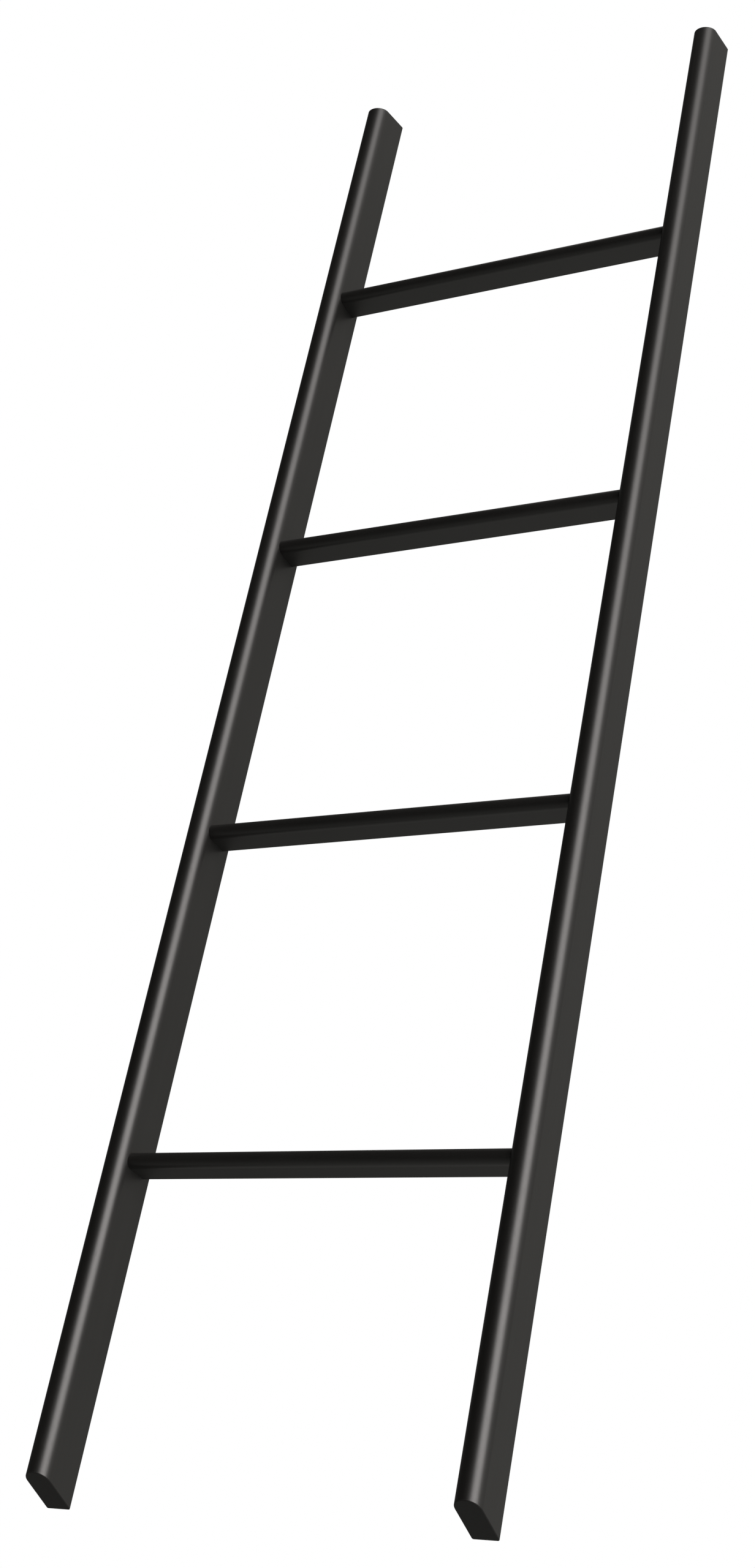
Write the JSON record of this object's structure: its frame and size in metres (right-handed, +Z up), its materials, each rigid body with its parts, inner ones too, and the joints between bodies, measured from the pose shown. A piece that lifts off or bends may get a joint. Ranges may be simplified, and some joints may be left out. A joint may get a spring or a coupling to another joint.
{
  "type": "loft bed ladder",
  "caption": "Straight loft bed ladder: round-nosed side rails with sloped ends, joined by flat round-nosed rungs on hidden dowels.",
  "frame": {"origin": "bottom centre: middle of the width and of the rails' depth, at the height of the lowest edge of the feet", "axes": "+X to the right across the ladder as the climber sees it, +Y to the flat back that lies on the bed, +Z up the rails"},
  "size_m": [0.396, 0.045, 1.5],
  "materials": {
    "lacquer": "satin black lacquer on close-grained wood",
    "beech": "bare fluted beech"
  },
  "bodies": {
    "root": {"left_rail": "lacquer", "right_rail": "lacquer", "rung_1": "lacquer", "rung_2": "lacquer", "rung_3": "lacquer", "rung_4": "lacquer", "dowel_1_left_front": "beech", "dowel_1_left_back": "beech", "dowel_1_right_front": "beech", "dowel_1_right_back": "beech", "dowel_2_left_front": "beech", "dowel_2_left_back": "beech", "dowel_2_right_front": "beech", "dowel_2_right_back": "beech", "dowel_3_left_front": "beech", "dowel_3_left_back": "beech", "dowel_3_right_front": "beech", "dowel_3_right_back": "beech", "dowel_4_left_front": "beech", "dowel_4_left_back": "beech", "dowel_4_right_front": "beech", "dowel_4_right_back": "beech"}
  },
  "joints": []
}
